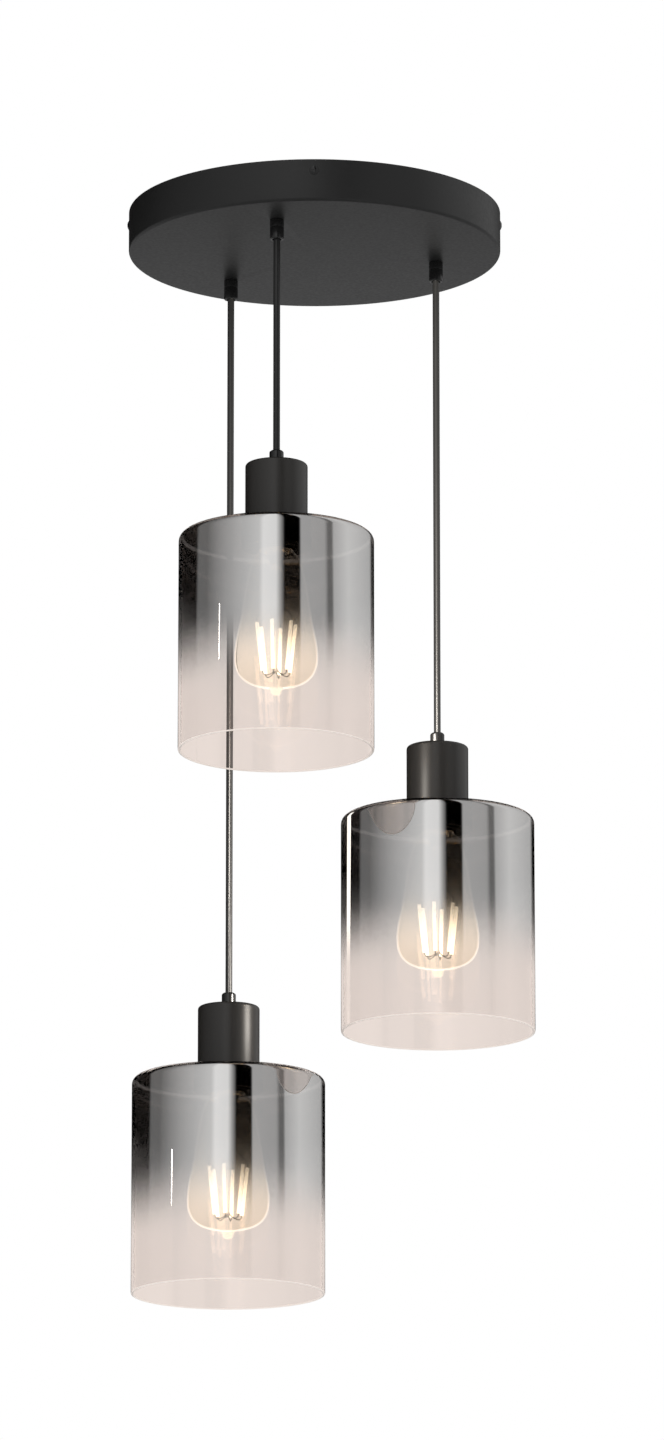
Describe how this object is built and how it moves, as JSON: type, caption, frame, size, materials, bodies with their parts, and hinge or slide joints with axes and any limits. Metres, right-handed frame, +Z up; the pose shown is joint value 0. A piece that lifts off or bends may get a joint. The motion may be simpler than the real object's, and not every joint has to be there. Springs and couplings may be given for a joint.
{
  "type": "cluster pendant light",
  "caption": "Ceiling pendant: round black canopy with lamps hung on cords of stepped lengths, each a black cup, a smoke-to-clear glass cylinder and a clear filament bulb.",
  "frame": {"origin": "centre of the ceiling bracket, in the plane of the ceiling", "axes": "+Z up to the ceiling, -Y towards the shortest lamp, +X to the right as seen from the front"},
  "size_m": [0.3179, 0.3159, 0.847],
  "materials": {
    "canopy_paint": "satin black powder coat",
    "cup_paint": "satin black enamel on drawn steel",
    "grip_black": "black finish on turned steel",
    "zinc_steel": "zinc-plated, dull",
    "brass": "rolled, bright",
    "cord_sheath": "smooth black sheath",
    "nylon": "moulded",
    "block_plastic": "moulded, off-white",
    "holder_plastic": "moulded black thermoset",
    "shade_glass": "clear glass with a smoke mirror coat fading from the top",
    "bulb_glass": "clear blown glass",
    "stem_glass": "clear pressed glass",
    "filament": "glowing warm white",
    "cap_metal": "nickel-plated, rolled",
    "nickel_wire": "drawn wire"
  },
  "bodies": {
    "canopy": {"canopy_shell": "canopy_paint", "ceiling_bracket": "zinc_steel", "canopy_screws": "grip_black", "ground_screw": "brass", "terminal_block": "block_plastic", "terminal_screws": "zinc_steel", "grip_locknuts": "zinc_steel", "grip_body_1": "grip_black", "grip_nut_1": "grip_black", "lead_1": "cord_sheath", "grip_body_2": "grip_black", "grip_nut_2": "grip_black", "lead_2": "cord_sheath", "grip_body_3": "grip_black", "grip_nut_3": "grip_black", "lead_3": "cord_sheath"},
    "bush_1": {"flex_bush_1": "nylon"},
    "cord_1": {"cord_1": "cord_sheath"},
    "lamp_1": {"gland_1": "grip_black", "cup_1": "cup_paint", "holder_body_1": "holder_plastic", "screw_shell_1": "brass", "centre_contact_1": "brass", "shade_collar_1": "holder_plastic", "glass_shade_1": "shade_glass"},
    "bulb_1": {"bulb_glass_1": "bulb_glass", "bulb_cap_1": "cap_metal", "bulb_stem_1": "stem_glass", "bulb_filaments_1": "filament", "bulb_wires_1": "nickel_wire"},
    "bush_2": {"flex_bush_2": "nylon"},
    "cord_2": {"cord_2": "cord_sheath"},
    "lamp_2": {"gland_2": "grip_black", "cup_2": "cup_paint", "holder_body_2": "holder_plastic", "screw_shell_2": "brass", "centre_contact_2": "brass", "shade_collar_2": "holder_plastic", "glass_shade_2": "shade_glass"},
    "bulb_2": {"bulb_glass_2": "bulb_glass", "bulb_cap_2": "cap_metal", "bulb_stem_2": "stem_glass", "bulb_filaments_2": "filament", "bulb_wires_2": "nickel_wire"},
    "bush_3": {"flex_bush_3": "nylon"},
    "cord_3": {"cord_3": "cord_sheath"},
    "lamp_3": {"gland_3": "grip_black", "cup_3": "cup_paint", "holder_body_3": "holder_plastic", "screw_shell_3": "brass", "centre_contact_3": "brass", "shade_collar_3": "holder_plastic", "glass_shade_3": "shade_glass"},
    "bulb_3": {"bulb_glass_3": "bulb_glass", "bulb_cap_3": "cap_metal", "bulb_stem_3": "stem_glass", "bulb_filaments_3": "filament", "bulb_wires_3": "nickel_wire"}
  },
  "joints": [
    {"name": "swing_x_1", "type": "hinge", "parent": "canopy", "child": "bush_1", "pos_m": [-0.02898, -0.09362, -0.045], "axis": [1, 0, 0], "range_deg": [-6, 6]},
    {"name": "swing_y_1", "type": "hinge", "parent": "bush_1", "child": "cord_1", "pos_m": [-0.02898, -0.09362, -0.045], "axis": [0, 1, 0], "range_deg": [-6, 6]},
    {"name": "height_1", "type": "slide", "parent": "cord_1", "child": "lamp_1", "axis": [0, 0, 1], "range_m": [0, 0.12], "deforming": ["cord_1"]},
    {"name": "bulb_out_1", "type": "slide", "parent": "lamp_1", "child": "bulb_1", "axis": [0, 0, -1], "range_m": [0, 0.028]},
    {"name": "swing_x_2", "type": "hinge", "parent": "canopy", "child": "bush_2", "pos_m": [0.09556, 0.02171, -0.045], "axis": [1, 0, 0], "range_deg": [-6, 6]},
    {"name": "swing_y_2", "type": "hinge", "parent": "bush_2", "child": "cord_2", "pos_m": [0.09556, 0.02171, -0.045], "axis": [0, 1, 0], "range_deg": [-6, 6]},
    {"name": "height_2", "type": "slide", "parent": "cord_2", "child": "lamp_2", "axis": [0, 0, 1], "range_m": [0, 0.3], "deforming": ["cord_2"]},
    {"name": "bulb_out_2", "type": "slide", "parent": "lamp_2", "child": "bulb_2", "axis": [0, 0, -1], "range_m": [0, 0.028]},
    {"name": "swing_x_3", "type": "hinge", "parent": "canopy", "child": "bush_3", "pos_m": [-0.06659, 0.07191, -0.045], "axis": [1, 0, 0], "range_deg": [-6, 6]},
    {"name": "swing_y_3", "type": "hinge", "parent": "bush_3", "child": "cord_3", "pos_m": [-0.06659, 0.07191, -0.045], "axis": [0, 1, 0], "range_deg": [-6, 6]},
    {"name": "height_3", "type": "slide", "parent": "cord_3", "child": "lamp_3", "axis": [0, 0, 1], "range_m": [0, 0.48], "deforming": ["cord_3"]},
    {"name": "bulb_out_3", "type": "slide", "parent": "lamp_3", "child": "bulb_3", "axis": [0, 0, -1], "range_m": [0, 0.028]}
  ]
}
